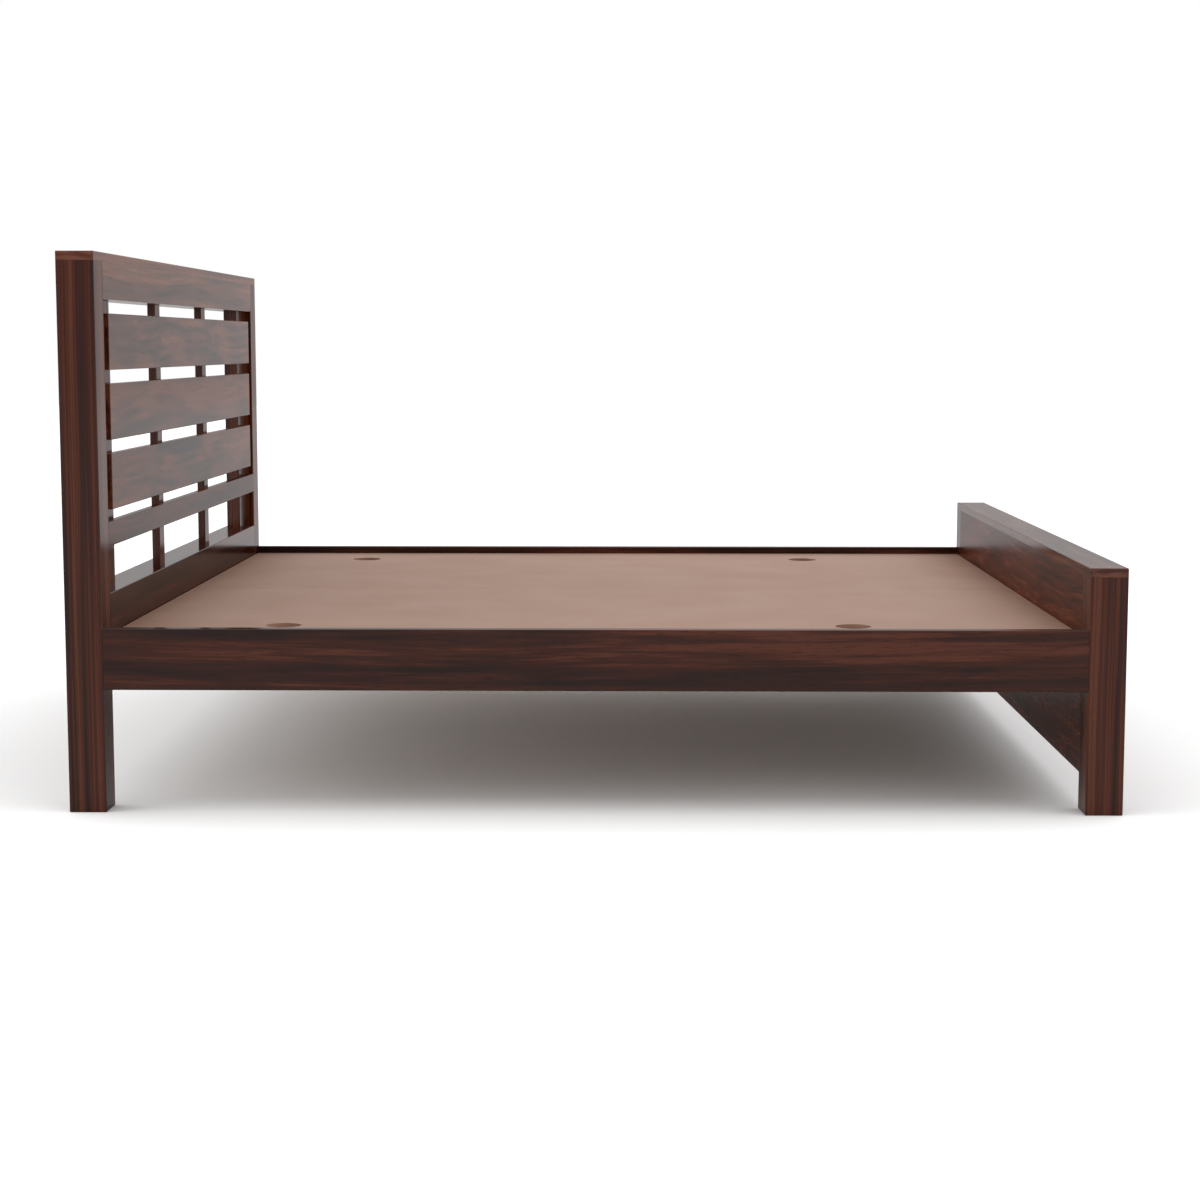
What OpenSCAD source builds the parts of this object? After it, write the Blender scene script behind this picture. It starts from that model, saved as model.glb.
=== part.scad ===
// Wooden bed with a slatted headboard, a low footboard and a loose two-board platform.
// Millimetres. Origin on the floor under the middle of the bed, +X to the foot, +Z up.
// Left is -Y and right is +Y, as seen from the foot of the bed.

/* [Bed] */
// Overall length, from the back of the headboard to the outside of the footboard
bed_length = 2140; // [1900:1:2400]
// Overall width over the posts
bed_width = 1900; // [1700:1:2200]
// Height of the headboard
head_height = 1133; // [1060:1:1400]
// Height of the footboard
foot_height = 503; // [420:1:700]
// Side of the square posts
post_size = 76; // [66:1:90]
// Thickness of the strips that cap both ends
cap_thickness = 18; // [15:1:30]
// Chamfer that eases the long edges of the timber
edge_ease = 1.2; // [0.5:0.1:3]

/* [Headboard] */
// Height of the thick top rail
top_rail_height = 76; // [60:1:110]
// Height of each wide slat
slat_height = 115; // [90:1:135]
// Thickness of the slats and of the narrow middle rail
slat_thickness = 18; // [16:1:25]
// Open space above each slat
slat_gap = 28; // [15:1:45]
// Open space between a post and the end of a slat
slat_end_gap = 42; // [20:1:80]
// Height of the narrow middle rail
mid_rail_height = 50; // [40:1:90]
// Open space between the lowest slat and the middle rail
mid_rail_gap = 23.5; // [10:0.5:60]
// Height of the thick bottom rail
bottom_rail_height = 90; // [75:1:110]
// How far the bottom rail stands above the platform
bottom_rail_stand = 82; // [60:1:100]
// Thickness of the apron board under the bottom rail
apron_thickness = 28; // [24:1:32]
// Width of the uprights behind the slats
batten_width = 50; // [35:1:80]
// Thickness of the uprights behind the slats
batten_thickness = 18; // [16:1:30]
// Distance from the end of a slat to the outer upright
batten_inset = 32.5; // [10:0.5:120]
// Distance between the middles of the two inner uprights
batten_spacing = 545; // [300:1:800]

/* [Rails and footboard] */
// Height of the side rails
rail_height = 125; // [115:1:180]
// Thickness of the side rails
rail_thickness = 28; // [24:1:36]
// Clear height under the side rails
rail_clearance = 252; // [200:1:290]
// How far the side rails stand above the platform
rail_stand = 18; // [8:1:26]
// Thickness of the foot panel
foot_panel_thickness = 28; // [24:1:40]
// Clear height under the foot panel
foot_panel_clearance = 75; // [30:1:200]

/* [Platform] */
// Thickness of the platform boards
board_thickness = 18; // [12:1:22]
// Gap round the platform boards
board_gap = 2; // [1:0.5:6]
// Gap between the two boards on the centre line
seam_gap = 1.5; // [0.5:0.5:4]
// Diameter of the finger holes
finger_hole_d = 76; // [40:1:100]
// Middle of a finger hole from the side rail
finger_hole_side = 181; // [120:1:300]
// Middle of the head finger holes from the headboard
finger_hole_head = 334; // [150:1:600]
// Middle of the foot finger holes from the foot panel
finger_hole_foot = 453; // [150:1:600]

/* [Supports] */
// Middle of the outer cross bearers from the headboard and from the foot panel
bearer_inset = 219; // [150:1:260]
// Width of the cross bearers
bearer_width = 60; // [45:1:90]
// Thickness of the cross bearers and height of the end ledgers
bearer_thickness = 25; // [18:1:30]
// Depth of the end ledgers
ledger_depth = 32; // [25:1:40]
// Height of the side cleats
cleat_height = 30; // [28:1:34]
// Depth of the side cleats
cleat_depth = 30; // [20:1:38]
// Width of the centre beam
beam_width = 45; // [35:1:70]
// Height of the centre beam's underside above the bottom edge of the side rails
beam_lift = 4; // [3:0.5:12]

/* [Wood joints] */
// Thickness of the tenons on the thick rails
tenon_thickness = 25; // [16:1:32]
// Wood left in a post between the end of a tenon and the outside
tenon_wall = 31; // [29:1:50]
// Height of the shoulders above and below a tenon
tenon_shoulder = 13; // [8:1:18]
// Thickness of the stub tenons on the apron and on the foot panel
stub_thickness = 12; // [8:1:16]
// Length of the stub tenons
stub_length = 12; // [8:1:12]
// Glue space on each side of a tenon
joint_clearance = 0.2; // [0.1:0.05:0.5]
// Glue space at the end of a tenon or dowel
joint_end_gap = 1; // [0.5:0.5:2]
// Diameter of the dowels
dowel_d = 10; // [6:1:12]
// Length of the dowels at the ends of the side rails
rail_dowel_length = 48; // [30:1:52]
// Length of the dowels under the caps
cap_dowel_length = 40; // [30:1:50]
// Depth to which a dowel enters a cap
cap_dowel_depth = 11; // [8:1:12]
// Middle of the outer cap dowels from the end of the cap
cap_dowel_edge = 18; // [14:1:22]
// Distance between the cap dowels along a rail
cap_dowel_spacing = 600; // [300:1:800]

/* [Corner brackets] */
// Thickness of the bracket steel
bracket_steel = 4; // [3:0.5:6]
// Distance from the corner to the bolts in the side rail
rail_bolt_x = 35; // [33:1:50]
// Gap between a bracket and the wood above and below it
bracket_margin = 5; // [2:0.5:8]
// Diameter of the bracket bolts
bolt_d = 8; // [6:1:8]
// Length of the bracket bolts under the head
bolt_length = 24; // [20:1:26]
// Outer diameter of the washers
washer_d = 16; // [14:1:17]
// Thickness of the washers
washer_thickness = 1.6; // [1:0.1:2.5]
// Outer diameter of the threaded inserts
insert_d = 12; // [10:1:13]
// Length of the threaded inserts
insert_length = 18; // [12:1:19]
// Distance from the edge of a bracket to the nearest bolt
bolt_edge = 13; // [9:1:15]

/* [Screws and hangers] */
// Diameter of the slat screws and of the hanger screws
small_screw_d = 4; // [3:0.5:5]
// Length of the slat screws
slat_screw_length = 32; // [24:1:33]
// Length of the hanger screws
hanger_screw_length = 25; // [12:1:28]
// Diameter of the screws in the cleats, ledgers and bearers
frame_screw_d = 5; // [4:0.5:6]
// Length of the screws in the cleats, ledgers and bearers
frame_screw_length = 45; // [40:1:48]
// Number of screws along each ledger
ledger_screw_count = 7; // [4:1:12]
// Radial clearance round a screw, bolt or dowel
hole_clearance = 0.1; // [0.05:0.05:0.3]
// Thickness of the hanger steel
hanger_steel = 2.5; // [1.5:0.5:3]
// Depth of the hanger's seat along the beam
hanger_depth = 40; // [30:1:70]
// Width of each flange of a hanger
hanger_flange = 26; // [20:1:40]

/* [Hidden] */
$fn = 48;

// Faces of the bed frame
head_face_x = -bed_length / 2 + post_size;
foot_face_x = bed_length / 2 - post_size;
inner_length = foot_face_x - head_face_x;
post_inner_y = bed_width / 2 - post_size;
rail_inner_y = bed_width / 2 - rail_thickness;
head_post_top = head_height - cap_thickness;
foot_post_top = foot_height - cap_thickness;

// Levels of the headboard, from the top down
top_rail_z = head_post_top - top_rail_height;
slat_pitch = slat_height + slat_gap;
slat_z = [for (i = [1:3]) top_rail_z - i * slat_pitch];
mid_rail_z = slat_z[2] - mid_rail_gap - mid_rail_height;
slat_half_length = post_inner_y - slat_end_gap;

// Levels of the platform, from the top down
platform_top = rail_clearance + rail_height - rail_stand;
board_z = platform_top - board_thickness;
bearer_z = board_z - bearer_thickness;
cleat_z = bearer_z - cleat_height;
beam_z = rail_clearance + beam_lift;
beam_height = bearer_z - beam_z;
bottom_rail_top = platform_top + bottom_rail_stand;
bottom_rail_z = bottom_rail_top - bottom_rail_height;
apron_height = bottom_rail_z - rail_clearance;

// Uprights behind the slats, from left to right
batten_x = head_face_x - slat_thickness - batten_thickness;
batten_outer_y = slat_half_length - batten_inset - batten_width / 2;
batten_y = [-batten_outer_y, -batten_spacing / 2, batten_spacing / 2, batten_outer_y];
batten_tenon_length = 12;
batten_tenon_thickness = batten_thickness / 2;
batten_tenon_shoulder = 8;
batten_tenon_width = batten_width - 2 * batten_tenon_shoulder;
mid_tenon_length = 20;
mid_tenon_thickness = slat_thickness / 2;
mid_tenon_shoulder = 8;
slat_screw_edge = 28;

// Tenons, stub tenons and tongues
tenon_length = post_size - tenon_wall;
stub_shoulder = 12;
tongue_height = 10;

// Dowels at the ends of the side rails
rail_dowel_edge = 38;
rail_dowel_z = [rail_clearance + rail_dowel_edge, rail_clearance + rail_height - rail_dowel_edge];
rail_middle_y = bed_width / 2 - rail_thickness / 2;

// Dowels under the caps
cap_dowel_y = [
    -bed_width / 2 + cap_dowel_edge, -cap_dowel_spacing, 0,
    cap_dowel_spacing, bed_width / 2 - cap_dowel_edge
];
head_rail_middle_x = head_face_x - post_size / 2;
foot_post_middle_x = foot_face_x + post_size / 2;
foot_panel_middle_x = foot_face_x + foot_panel_thickness / 2;

// Corner brackets, with two bolts in each leg
bracket_z = rail_clearance + bracket_margin;
bracket_height = bearer_z - bracket_margin - bracket_z;
bolt_z = [bracket_z + bolt_edge, bracket_z + bracket_height - bolt_edge];
bracket_tip = 2;
bracket_post_leg = rail_inner_y - post_inner_y - bracket_tip;
bracket_tail = 17;
bracket_leg = rail_bolt_x + washer_d / 2 + bracket_tail;
post_bolt_y = rail_inner_y - bracket_post_leg / 2;
bolt_hole_play = 1;
bolt_hole_d = bolt_d + bolt_hole_play;
bolt_head_width_ratio = 1.6;
bolt_head_width = bolt_d * bolt_head_width_ratio;
bolt_head_height_ratio = 0.66;
bolt_head_height = bolt_d * bolt_head_height_ratio;
washer_play = 0.4;
washer_hole_d = bolt_d + washer_play;
bolt_reach = bolt_length - bracket_steel - washer_thickness;
insert_hole_depth = max(insert_length, bolt_reach) + joint_end_gap;

// Cleats stop clear of the brackets, and their screws stand between the bearers
bearer_count = 6;
bearer_pitch = (inner_length - 2 * bearer_inset) / (bearer_count - 1);
cleat_end_gap = 6;
cleat_half_length = inner_length / 2 - bracket_leg - cleat_end_gap;
cleat_screw_inset = 40;
cleat_screw_x = [
    -cleat_half_length + cleat_screw_inset,
    for (i = [1:bearer_count - 1]) (i - bearer_count / 2) * bearer_pitch,
    cleat_half_length - cleat_screw_inset
];
ledger_screw_inset = 60;
ledger_z = bearer_z;
bearer_end_gap = 1;
bearer_half_length = rail_inner_y - bearer_end_gap;

// Centre beam and its hangers
beam_end_gap = 2;
hanger_clearance = 0.3;
hanger_top_gap = 6;
hanger_screw_edge = 12;
hanger_tip = 14;
hanger_side_screw_x = hanger_depth - hanger_tip;
hanger_side_screw_length = beam_width / 3;

// Screw heads and bearer screws
screw_head_ratio = 2;
screw_recess_depth_ratio = 0.45;
screw_recess_length_ratio = 1.2;
screw_recess_width_ratio = 0.24;
screw_tip_ratio = 0.25;
bearer_screw_offset = 18;
cleat_middle_y = rail_inner_y - cleat_depth / 2;
bearer_x = [for (i = [0:bearer_count - 1]) (i - (bearer_count - 1) / 2) * bearer_pitch];
cut = 1;

// Outline with its corners eased, apart from those of a side that is glued flush
module eased_outline(width, depth, low = true, high = true) {
    e = edge_ease;
    low_points = low ? [[0, e], [e, 0], [width - e, 0], [width, e]] : [[0, 0], [width, 0]];
    high_points = high
        ? [[width, depth - e], [width - e, depth], [e, depth], [0, depth - e]]
        : [[width, depth], [0, depth]];
    polygon(concat(low_points, high_points));
}

// Sticks with eased long edges, each with its low corner at the origin
module stick_x(size, low = true, high = true) {
    rotate([90, 0, 90]) linear_extrude(size.x) eased_outline(size.y, size.z, low, high);
}

module stick_y(size, low = true, high = true) {
    translate([0, size.y, 0])
        rotate([90, 0, 0])
            linear_extrude(size.y) eased_outline(size.x, size.z, low, high);
}

// Block with its end edges eased as well
module eased_block(size, low = true, high = true) {
    intersection() {
        linear_extrude(size.z) eased_outline(size.x, size.y);
        stick_x(size, low, high);
        stick_y(size, low, high);
    }
}

// Makes the right side from a piece drawn on the left side
module right_side() {
    mirror([0, 1, 0]) children();
}

// Hole along +X, +Y or +Z from a point
module hole_x(point, d, depth) {
    translate(point) rotate([0, 90, 0]) cylinder(d = d, h = depth);
}

module hole_y(point, d, depth) {
    translate(point) rotate([-90, 0, 0]) cylinder(d = d, h = depth);
}

module hole_z(point, d, depth) {
    translate(point) cylinder(d = d, h = depth);
}

// Countersunk wood screw with its head flush at the origin, pointing along +Z
module screw(d, length) {
    head_d = d * screw_head_ratio;
    head_h = (head_d - d) / 2;
    recess = d * screw_recess_depth_ratio;
    recess_length = d * screw_recess_length_ratio;
    recess_width = d * screw_recess_width_ratio;
    tip_h = d;
    difference() {
        union() {
            cylinder(d1 = head_d, d2 = d, h = head_h);
            cylinder(d = d, h = length - tip_h);
            translate([0, 0, length - tip_h])
                cylinder(d1 = d, d2 = d * screw_tip_ratio, h = tip_h);
        }
        for (turn = [0, 90])
            rotate([0, 0, turn])
                translate([-recess_length / 2, -recess_width / 2, -cut])
                    cube([recess_length, recess_width, recess + cut]);
    }
}

// Space that a screw takes up in the wood, head side at the origin
module screw_hole(d, length) {
    c = hole_clearance;
    head_d = d * screw_head_ratio;
    head_h = (head_d - d) / 2;
    translate([0, 0, -cut]) cylinder(d = d + 2 * c, h = length + cut + joint_end_gap);
    cylinder(d1 = head_d + 2 * c, d2 = d + 2 * c, h = head_h);
    translate([0, 0, -cut]) cylinder(d = head_d + 2 * c, h = cut);
}

// Screws through the uprights into the slats and the middle rail
module at_slat_screws(first, last) {
    for (i = [first:last]) {
        for (z = slat_z)
            for (dz = [slat_screw_edge, slat_height - slat_screw_edge])
                translate([batten_x, batten_y[i], z + dz]) rotate([0, 90, 0]) children();
        translate([batten_x, batten_y[i], mid_rail_z + mid_rail_height / 2])
            rotate([0, 90, 0]) children();
    }
}

// Screws through the cleats, drawn on the left side
module at_cleat_screws() {
    for (x = cleat_screw_x)
        translate([x, -rail_inner_y + cleat_depth, cleat_z + cleat_height / 2])
            rotate([90, 0, 0]) children();
}

// Screws through a ledger, for a face that looks along +X
module at_ledger_screws() {
    span = 2 * (post_inner_y - ledger_screw_inset);
    for (i = [0:ledger_screw_count - 1])
        translate([
            ledger_depth,
            -span / 2 + i * span / (ledger_screw_count - 1),
            ledger_z + bearer_thickness / 2
        ])
            rotate([0, -90, 0]) children();
}

module at_head_ledger_screws() {
    translate([head_face_x, 0, 0]) at_ledger_screws() children();
}

module at_foot_ledger_screws() {
    translate([foot_face_x, 0, 0]) mirror([1, 0, 0]) at_ledger_screws() children();
}

// Screws down through one bearer into both cleats and the beam
module at_bearer_screws(i) {
    for (y = [-cleat_middle_y, 0, cleat_middle_y])
        for (dx = [-bearer_screw_offset, bearer_screw_offset])
            translate([bearer_x[i] + dx, y, board_z]) rotate([180, 0, 0]) children();
}

// Screws of one hanger: four through the flanges and one in each side of the beam
module at_hanger_flange_screws() {
    y = beam_width / 2 + hanger_clearance + hanger_steel + hanger_flange / 2;
    for (side = [-1, 1])
        for (z = [beam_z + hanger_screw_edge, bearer_z - hanger_top_gap - hanger_screw_edge])
            translate([hanger_steel, side * y, z]) rotate([0, -90, 0]) children();
}

module at_hanger_side_screws() {
    y = beam_width / 2 + hanger_clearance + hanger_steel;
    for (side = [-1, 1])
        translate([hanger_side_screw_x, side * y, beam_z + beam_height / 2])
            rotate([side * 90, 0, 0]) children();
}

module hanger_side_screw_holes() {
    at_hanger_side_screws() screw_hole(small_screw_d, hanger_side_screw_length);
}

// Moves a piece drawn on a face that looks along +X to the head or to the foot
module at_head_end() {
    translate([head_face_x, 0, 0]) children();
}

module at_foot_end() {
    translate([foot_face_x, 0, 0]) mirror([1, 0, 0]) children();
}

// Bolts of one bracket, drawn at the left corner of an end that looks along +X
module at_post_bolts(seat) {
    for (z = bolt_z)
        translate([seat, -post_bolt_y, z]) rotate([0, -90, 0]) children();
}

module at_rail_bolts(seat) {
    for (z = bolt_z)
        translate([rail_bolt_x, -rail_inner_y + seat, z]) rotate([90, 0, 0]) children();
}

// Runs once at each of the four corners of the bed frame
module at_corners() {
    at_head_end() children();
    at_foot_end() children();
    right_side() at_head_end() children();
    right_side() at_foot_end() children();
}

// Holes for the inserts of a post, and of a rail, on the left side of an end
module post_insert_holes() {
    at_post_bolts(0) cylinder(d = insert_d + 2 * hole_clearance, h = insert_hole_depth);
}

module rail_insert_holes() {
    at_rail_bolts(0) cylinder(d = insert_d + 2 * hole_clearance, h = insert_hole_depth);
}

// Sockets for the dowels between a side rail and a post
module rail_dowel_sockets() {
    half = rail_dowel_length / 2 + joint_end_gap;
    for (z = rail_dowel_z)
        hole_x([-half, -rail_middle_y, z], dowel_d + 2 * hole_clearance, 2 * half);
}

// Sockets in the top edge of a piece, and in the underside of its cap
module cap_dowel_sockets(x, y, top) {
    low = top - (cap_dowel_length - cap_dowel_depth) - joint_end_gap;
    hole_z([x, y, low], dowel_d + 2 * hole_clearance, cap_dowel_length + 2 * joint_end_gap);
}

// Tenon along Y at the left end of a rail, as tenon or as the mortise that takes it
module end_tenon(x, z, thickness, height, length, clearance, end_gap) {
    translate([x - thickness / 2 - clearance, -post_inner_y - length - end_gap, z - clearance])
        cube([thickness + 2 * clearance, length + end_gap + cut, height + 2 * clearance]);
}

module top_rail_tenon(clearance = 0, end_gap = 0) {
    end_tenon(head_rail_middle_x, top_rail_z + tenon_shoulder, tenon_thickness,
        top_rail_height - 2 * tenon_shoulder, tenon_length, clearance, end_gap);
}

module bottom_rail_tenon(clearance = 0, end_gap = 0) {
    end_tenon(head_rail_middle_x, bottom_rail_z + tenon_shoulder, tenon_thickness,
        bottom_rail_height - 2 * tenon_shoulder, tenon_length, clearance, end_gap);
}

module mid_rail_tenon(clearance = 0, end_gap = 0) {
    end_tenon(head_face_x - slat_thickness / 2, mid_rail_z + mid_tenon_shoulder,
        mid_tenon_thickness, mid_rail_height - 2 * mid_tenon_shoulder,
        mid_tenon_length, clearance, end_gap);
}

module apron_tenon(clearance = 0, end_gap = 0) {
    end_tenon(head_face_x - apron_thickness / 2, rail_clearance + stub_shoulder,
        stub_thickness, apron_height - 2 * stub_shoulder, stub_length, clearance, end_gap);
}

module foot_panel_tenon(clearance = 0, end_gap = 0) {
    end_tenon(foot_panel_middle_x, foot_panel_clearance + stub_shoulder, stub_thickness,
        foot_post_top - foot_panel_clearance - 2 * stub_shoulder, stub_length,
        clearance, end_gap);
}

// Tongue on the apron's top edge, or the groove that takes it
module apron_tongue(clearance = 0, end_gap = 0) {
    translate([
        head_face_x - apron_thickness / 2 - stub_thickness / 2 - clearance,
        -post_inner_y + stub_shoulder - clearance,
        bottom_rail_z - cut
    ])
        cube([
            stub_thickness + 2 * clearance,
            2 * (post_inner_y - stub_shoulder + clearance),
            tongue_height + end_gap + cut
        ]);
}

// Tenons at both ends of an upright, or their mortises
module batten_tenons(i, clearance = 0, end_gap = 0) {
    low = bottom_rail_top - batten_tenon_length - end_gap;
    high = top_rail_z + batten_tenon_length + end_gap;
    for (z = [[low, bottom_rail_top + cut], [top_rail_z - cut, high]])
        translate([
            batten_x + batten_thickness / 2 - batten_tenon_thickness / 2 - clearance,
            batten_y[i] - batten_tenon_width / 2 - clearance,
            z[0]
        ])
            cube([
                batten_tenon_thickness + 2 * clearance,
                batten_tenon_width + 2 * clearance,
                z[1] - z[0]
            ]);
}

// Headboard

module head_post() {
    c = joint_clearance;
    g = joint_end_gap;
    color([0.27, 0.15, 0.11])
        difference() {
            translate([-bed_length / 2, -bed_width / 2, 0])
                eased_block([post_size, post_size, head_post_top], high = false);
            top_rail_tenon(c, g);
            mid_rail_tenon(c, g);
            bottom_rail_tenon(c, g);
            apron_tenon(c, g);
            at_head_end() post_insert_holes();
            at_head_end() rail_dowel_sockets();
            cap_dowel_sockets(head_rail_middle_x, cap_dowel_y[0], head_post_top);
        }
}

module head_post_left() head_post();

module head_post_right() right_side() head_post();

module head_cap() {
    color([0.33, 0.19, 0.14])
        difference() {
            translate([-bed_length / 2, -bed_width / 2, head_post_top])
                eased_block([post_size, bed_width, cap_thickness], low = false);
            for (y = cap_dowel_y)
                cap_dowel_sockets(head_rail_middle_x, y, head_post_top);
        }
}

module head_top_rail() {
    color([0.35, 0.21, 0.16])
        difference() {
            union() {
                translate([-bed_length / 2, -post_inner_y, top_rail_z])
                    stick_y([post_size, 2 * post_inner_y, top_rail_height], high = false);
                top_rail_tenon();
                right_side() top_rail_tenon();
            }
            for (i = [0:3])
                batten_tenons(i, joint_clearance, joint_end_gap);
            for (y = [-cap_dowel_spacing, 0, cap_dowel_spacing])
                cap_dowel_sockets(head_rail_middle_x, y, head_post_top);
        }
}

module head_slat(z) {
    color([0.38, 0.23, 0.17])
        difference() {
            translate([head_face_x - slat_thickness, -slat_half_length, z])
                eased_block([slat_thickness, 2 * slat_half_length, slat_height]);
            at_slat_screws(0, 3) screw_hole(small_screw_d, slat_screw_length);
        }
}

module head_slat_upper() head_slat(slat_z[0]);

module head_slat_middle() head_slat(slat_z[1]);

module head_slat_lower() head_slat(slat_z[2]);

module head_mid_rail() {
    color([0.35, 0.21, 0.16])
        difference() {
            union() {
                translate([head_face_x - slat_thickness, -post_inner_y, mid_rail_z])
                    stick_y([slat_thickness, 2 * post_inner_y, mid_rail_height]);
                mid_rail_tenon();
                right_side() mid_rail_tenon();
            }
            at_slat_screws(0, 3) screw_hole(small_screw_d, slat_screw_length);
        }
}

module head_batten(i) {
    color([0.30, 0.17, 0.12])
        difference() {
            union() {
                translate([batten_x, batten_y[i] - batten_width / 2, bottom_rail_top])
                    linear_extrude(top_rail_z - bottom_rail_top)
                        eased_outline(batten_thickness, batten_width);
                batten_tenons(i);
            }
            at_slat_screws(i, i) screw_hole(small_screw_d, slat_screw_length);
        }
}

module head_bottom_rail() {
    color([0.33, 0.19, 0.14])
        difference() {
            union() {
                translate([-bed_length / 2, -post_inner_y, bottom_rail_z])
                    stick_y([post_size, 2 * post_inner_y, bottom_rail_height]);
                bottom_rail_tenon();
                right_side() bottom_rail_tenon();
            }
            for (i = [0:3])
                batten_tenons(i, joint_clearance, joint_end_gap);
            apron_tongue(joint_clearance, joint_end_gap);
        }
}

module head_apron() {
    color([0.30, 0.17, 0.12])
        difference() {
            union() {
                translate([head_face_x - apron_thickness, -post_inner_y, rail_clearance])
                    stick_y([apron_thickness, 2 * post_inner_y, apron_height]);
                apron_tenon();
                right_side() apron_tenon();
                apron_tongue();
            }
            at_head_ledger_screws() screw_hole(frame_screw_d, frame_screw_length);
            at_head_end() at_hanger_flange_screws() screw_hole(small_screw_d, hanger_screw_length);
        }
}

module slat_screws() {
    color([0.72, 0.70, 0.62])
        at_slat_screws(0, 3) screw(small_screw_d, slat_screw_length);
}

// Footboard

module foot_post() {
    color([0.27, 0.15, 0.11])
        difference() {
            translate([foot_face_x, -bed_width / 2, 0])
                eased_block([post_size, post_size, foot_post_top], high = false);
            foot_panel_tenon(joint_clearance, joint_end_gap);
            at_foot_end() post_insert_holes();
            at_foot_end() rail_dowel_sockets();
            cap_dowel_sockets(foot_post_middle_x, cap_dowel_y[0], foot_post_top);
        }
}

module foot_post_left() foot_post();

module foot_post_right() right_side() foot_post();

module foot_cap() {
    color([0.33, 0.19, 0.14])
        difference() {
            translate([foot_face_x, -bed_width / 2, foot_post_top])
                eased_block([post_size, bed_width, cap_thickness], low = false);
            foot_cap_sockets();
        }
}

module foot_cap_sockets() {
    for (i = [0, 4])
        cap_dowel_sockets(foot_post_middle_x, cap_dowel_y[i], foot_post_top);
    for (i = [1:3])
        cap_dowel_sockets(foot_panel_middle_x, cap_dowel_y[i], foot_post_top);
}

module foot_panel() {
    color([0.35, 0.21, 0.16])
        difference() {
            union() {
                translate([foot_face_x, -post_inner_y, foot_panel_clearance])
                    stick_y([
                        foot_panel_thickness, 2 * post_inner_y,
                        foot_post_top - foot_panel_clearance
                    ], high = false);
                foot_panel_tenon();
                right_side() foot_panel_tenon();
            }
            foot_cap_sockets();
            at_foot_ledger_screws() screw_hole(frame_screw_d, frame_screw_length);
            at_foot_end() at_hanger_flange_screws() screw_hole(small_screw_d, hanger_screw_length);
        }
}

module cap_dowels() {
    color([0.80, 0.66, 0.48])
        for (top = [[head_rail_middle_x, head_rail_middle_x, head_post_top],
                    [foot_post_middle_x, foot_panel_middle_x, foot_post_top]])
            for (i = [0:4])
                translate([
                    (i == 0 || i == 4) ? top[0] : top[1],
                    cap_dowel_y[i],
                    top[2] - (cap_dowel_length - cap_dowel_depth)
                ])
                    cylinder(d = dowel_d, h = cap_dowel_length);
}

// Bed frame

module side_rail() {
    color([0.33, 0.19, 0.14])
        difference() {
            translate([head_face_x, -bed_width / 2, rail_clearance])
                stick_x([inner_length, rail_thickness, rail_height]);
            at_head_end() rail_insert_holes();
            at_foot_end() rail_insert_holes();
            at_head_end() rail_dowel_sockets();
            at_foot_end() rail_dowel_sockets();
            at_cleat_screws() screw_hole(frame_screw_d, frame_screw_length);
        }
}

module side_rail_left() side_rail();

module side_rail_right() right_side() side_rail();

module rail_dowels() {
    color([0.80, 0.66, 0.48])
        at_corners()
            for (z = rail_dowel_z)
                hole_x([-rail_dowel_length / 2, -rail_middle_y, z], dowel_d, rail_dowel_length);
}

module side_cleat() {
    color([0.62, 0.46, 0.32])
        difference() {
            translate([-cleat_half_length, -rail_inner_y, cleat_z])
                stick_x([2 * cleat_half_length, cleat_depth, cleat_height]);
            at_cleat_screws() screw_hole(frame_screw_d, frame_screw_length);
            for (i = [0:bearer_count - 1])
                at_bearer_screws(i) screw_hole(frame_screw_d, frame_screw_length);
        }
}

module side_cleat_left() side_cleat();

module side_cleat_right() right_side() side_cleat();

module ledger() {
    translate([0, -bearer_half_length, ledger_z])
        stick_y([ledger_depth, 2 * bearer_half_length, bearer_thickness]);
}

module head_ledger() {
    color([0.62, 0.46, 0.32])
        difference() {
            at_head_end() ledger();
            at_head_ledger_screws() screw_hole(frame_screw_d, frame_screw_length);
        }
}

module foot_ledger() {
    color([0.62, 0.46, 0.32])
        difference() {
            at_foot_end() ledger();
            at_foot_ledger_screws() screw_hole(frame_screw_d, frame_screw_length);
        }
}

module centre_beam() {
    length = inner_length - 2 * beam_end_gap;
    color([0.62, 0.46, 0.32])
        difference() {
            translate([-length / 2, -beam_width / 2, beam_z])
                stick_x([length, beam_width, beam_height]);
            for (i = [0:bearer_count - 1])
                at_bearer_screws(i) screw_hole(frame_screw_d, frame_screw_length);
            at_head_end() hanger_side_screw_holes();
            at_foot_end() hanger_side_screw_holes();
        }
}

// Folded steel stirrup, drawn on a face that looks along +X
module beam_hanger() {
    t = hanger_steel;
    inside = beam_width / 2 + hanger_clearance;
    height = bearer_z - hanger_top_gap - beam_z;
    color([0.62, 0.63, 0.65])
        difference() {
            union() {
                translate([0, -inside - t, beam_z - t])
                    cube([hanger_depth, 2 * (inside + t), t]);
                for (side = [-1, 1]) {
                    translate([0, side > 0 ? inside : -inside - t, beam_z - t])
                        cube([hanger_depth, t, height + t]);
                    translate([0, side > 0 ? inside : -inside - t - hanger_flange, beam_z])
                        cube([t, hanger_flange + t, height]);
                }
            }
            at_hanger_flange_screws() screw_hole(small_screw_d, hanger_screw_length);
            hanger_side_screw_holes();
        }
}

module beam_hanger_head() at_head_end() beam_hanger();

module beam_hanger_foot() at_foot_end() beam_hanger();

module hanger_screws() {
    color([0.72, 0.70, 0.62]) {
        at_head_end() one_hanger_screws();
        at_foot_end() one_hanger_screws();
    }
}

module one_hanger_screws() {
    at_hanger_flange_screws() screw(small_screw_d, hanger_screw_length);
    at_hanger_side_screws() screw(small_screw_d, hanger_side_screw_length);
}

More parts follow.
